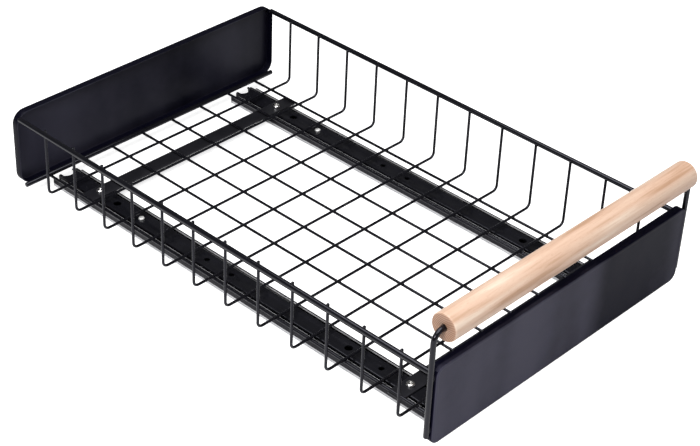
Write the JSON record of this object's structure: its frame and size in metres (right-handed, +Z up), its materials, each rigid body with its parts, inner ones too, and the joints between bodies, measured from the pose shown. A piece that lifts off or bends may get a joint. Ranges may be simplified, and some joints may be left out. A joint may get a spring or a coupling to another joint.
{
  "type": "pull-out cabinet basket",
  "caption": "Pull-out wire cabinet basket with sheet-steel end panels, a loose wooden grip and full-length ball-bearing slides.",
  "frame": {"origin": "bottom centre of the bounding box, on the cabinet floor under the slides", "axes": "+X to the right seen from the front, -Y to the front where the grip is, +Z up"},
  "size_m": [0.315, 0.4978, 0.1305],
  "materials": {
    "wire_coat": "gloss",
    "panel_coat": "satin",
    "bar_coat": "satin",
    "slide_coat": "gloss",
    "cage_steel": "satin",
    "ball_steel": "polished",
    "screw_plate": "polished",
    "grip_wood": "satin"
  },
  "bodies": {
    "slide_bases": {"left_outer_member": "slide_coat", "right_outer_member": "slide_coat"},
    "basket": {"long_wire_01": "wire_coat", "long_wire_02": "wire_coat", "long_wire_03": "wire_coat", "long_wire_04": "wire_coat", "long_wire_05": "wire_coat", "long_wire_06": "wire_coat", "long_wire_07": "wire_coat", "long_wire_08": "wire_coat", "cross_wire_01": "wire_coat", "cross_wire_02": "wire_coat", "cross_wire_03": "wire_coat", "cross_wire_04": "wire_coat", "cross_wire_05": "wire_coat", "cross_wire_06": "wire_coat", "cross_wire_07": "wire_coat", "cross_wire_08": "wire_coat", "cross_wire_09": "wire_coat", "cross_wire_10": "wire_coat", "cross_wire_11": "wire_coat", "cross_wire_12": "wire_coat", "left_top_rail": "wire_coat", "right_top_rail": "wire_coat", "front_panel": "panel_coat", "rear_panel": "panel_coat", "front_bottom_rod": "wire_coat", "rear_bottom_rod": "wire_coat", "front_mount_bar": "bar_coat", "rear_mount_bar": "bar_coat", "handle_wire": "wire_coat", "bar_screws": "screw_plate", "bar_nuts": "screw_plate", "slide_rivets": "screw_plate", "left_inner_member": "slide_coat", "right_inner_member": "slide_coat"},
    "left_cage": {"left_ball_cage": "cage_steel", "left_balls": "ball_steel"},
    "right_cage": {"right_ball_cage": "cage_steel", "right_balls": "ball_steel"},
    "grip": {"wood_grip": "grip_wood"}
  },
  "joints": [
    {"name": "basket_slide", "type": "slide", "parent": "slide_bases", "child": "basket", "axis": [0, -1, 0], "range_m": [0, 0.335]},
    {"name": "left_cage_slide", "type": "slide", "parent": "slide_bases", "child": "left_cage", "axis": [0, -1, 0], "range_m": [0, 0.1675]},
    {"name": "right_cage_slide", "type": "slide", "parent": "slide_bases", "child": "right_cage", "axis": [0, -1, 0], "range_m": [0, 0.1675]},
    {"name": "grip_spin", "type": "hinge", "parent": "basket", "child": "grip", "pos_m": [0.0015, -0.23717, 0.1188], "axis": [1, 0, 0], "continuous": true}
  ],
  "couplings": [
    {"joint": "left_cage_slide", "follows": "basket_slide", "ratio": 0.5},
    {"joint": "right_cage_slide", "follows": "basket_slide", "ratio": 0.5}
  ]
}
